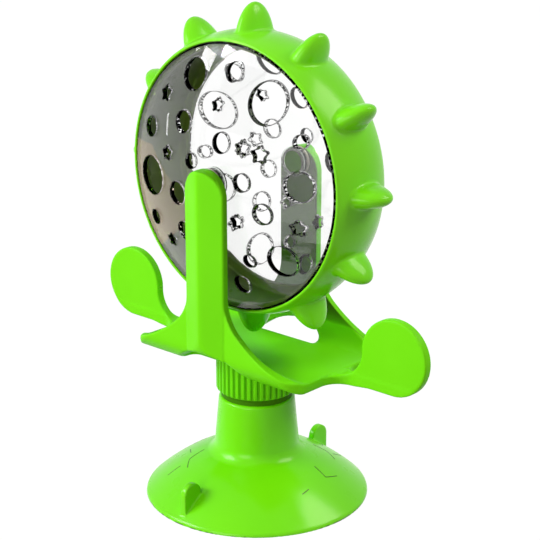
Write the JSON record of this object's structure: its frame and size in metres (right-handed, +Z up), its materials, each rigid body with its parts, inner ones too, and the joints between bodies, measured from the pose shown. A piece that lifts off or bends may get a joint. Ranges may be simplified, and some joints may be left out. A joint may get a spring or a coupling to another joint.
{
  "type": "windmill cat toy",
  "caption": "Clear treat drum with soft spikes that spins between two uprights, on a yoke with side paddles that swivels on a suction cup.",
  "frame": {"origin": "middle of the suction cup's rim, on the surface it stands on", "axes": "+Z up along the swivel axis; the drum turns about Y and the front upright is towards -Y; the paddles point along X"},
  "size_m": [0.1874, 0.101, 0.2211],
  "materials": {
    "cup_green": "glossy soft moulded",
    "yoke_green": "satin moulded",
    "collar_green": "satin moulded, fluted",
    "rim_green": "glossy moulded",
    "dome_clear": "clear polished",
    "hub_clear": "clear moulded",
    "spacer_dark": "dull",
    "inner_white": "dull",
    "screw_steel": "plain zinc"
  },
  "bodies": {
    "base": {"suction_cup": "cup_green", "neck_anchor": "inner_white", "swivel_spacer": "spacer_dark", "head_washer": "screw_steel", "swivel_head": "inner_white", "head_screw": "screw_steel"},
    "yoke_body": {"yoke": "yoke_green", "knurled_collar": "collar_green", "swivel_bush": "inner_white", "front_axle_pin": "hub_clear", "rear_axle_pin": "hub_clear", "front_thrust_washer": "inner_white", "rear_thrust_washer": "inner_white"},
    "wheel": {"wheel_rim": "rim_green", "front_dome": "dome_clear", "rear_dome": "dome_clear", "front_hub_bush": "hub_clear", "rear_hub_bush": "hub_clear"}
  },
  "joints": [
    {"name": "yoke_swivel", "type": "hinge", "parent": "base", "child": "yoke_body", "pos_m": [0, 0, 0.049], "axis": [0, 0, 1], "continuous": true},
    {"name": "wheel_spin", "type": "hinge", "parent": "yoke_body", "child": "wheel", "pos_m": [0, 0, 0.1485], "axis": [0, 1, 0], "continuous": true}
  ]
}
